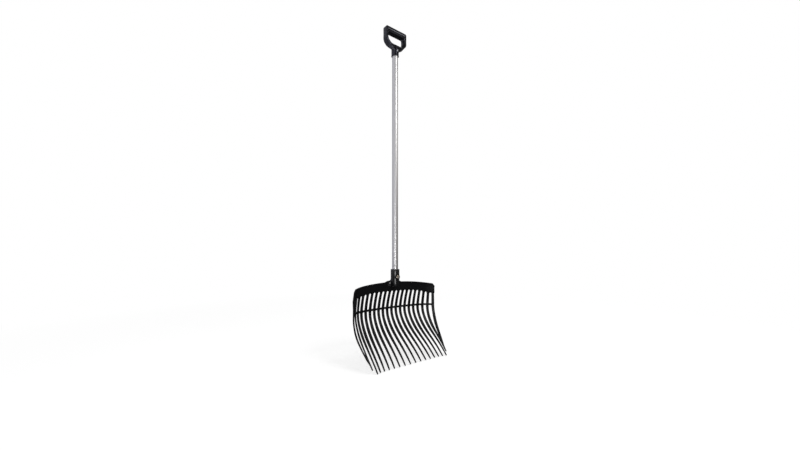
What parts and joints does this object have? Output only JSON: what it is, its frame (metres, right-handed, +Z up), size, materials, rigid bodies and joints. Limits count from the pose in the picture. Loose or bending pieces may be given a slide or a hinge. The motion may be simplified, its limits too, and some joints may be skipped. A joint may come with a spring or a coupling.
{
  "type": "manure fork",
  "caption": "Long-handled manure fork: a D-grip and a straight metal tube carry a wide moulded scoop head of slender forward-curving tines held by a rail and a cross brace.",
  "frame": {"origin": "middle of the underside of the grip's bar, where a hook carries the fork", "axes": "+Z up the tube from the head to the grip, -Y towards the load side of the head, +X to the right as seen from the load side"},
  "size_m": [0.413, 0.161, 1.3661],
  "materials": {
    "black_plastic": "semi-matte moulded black plastic with a slight sheen",
    "aluminium_tube": "satin, drawn along the tube",
    "zinc_steel": "zinc plated, slightly yellow"
  },
  "bodies": {
    "root": {"d_grip": "black_plastic", "grip_screw": "zinc_steel", "handle_tube": "aluminium_tube", "head_socket": "black_plastic", "head_rail": "black_plastic", "cross_brace": "black_plastic", "tine_01": "black_plastic", "tine_02": "black_plastic", "tine_03": "black_plastic", "tine_04": "black_plastic", "tine_05": "black_plastic", "tine_06": "black_plastic", "tine_07": "black_plastic", "tine_08": "black_plastic", "tine_09": "black_plastic", "tine_10": "black_plastic", "tine_11": "black_plastic", "tine_12": "black_plastic", "tine_13": "black_plastic", "tine_14": "black_plastic", "tine_15": "black_plastic", "tine_16": "black_plastic", "tine_17": "black_plastic", "tine_18": "black_plastic", "tine_19": "black_plastic", "tine_20": "black_plastic", "head_bolt": "zinc_steel", "head_washer": "zinc_steel", "head_nut": "zinc_steel"}
  },
  "joints": []
}
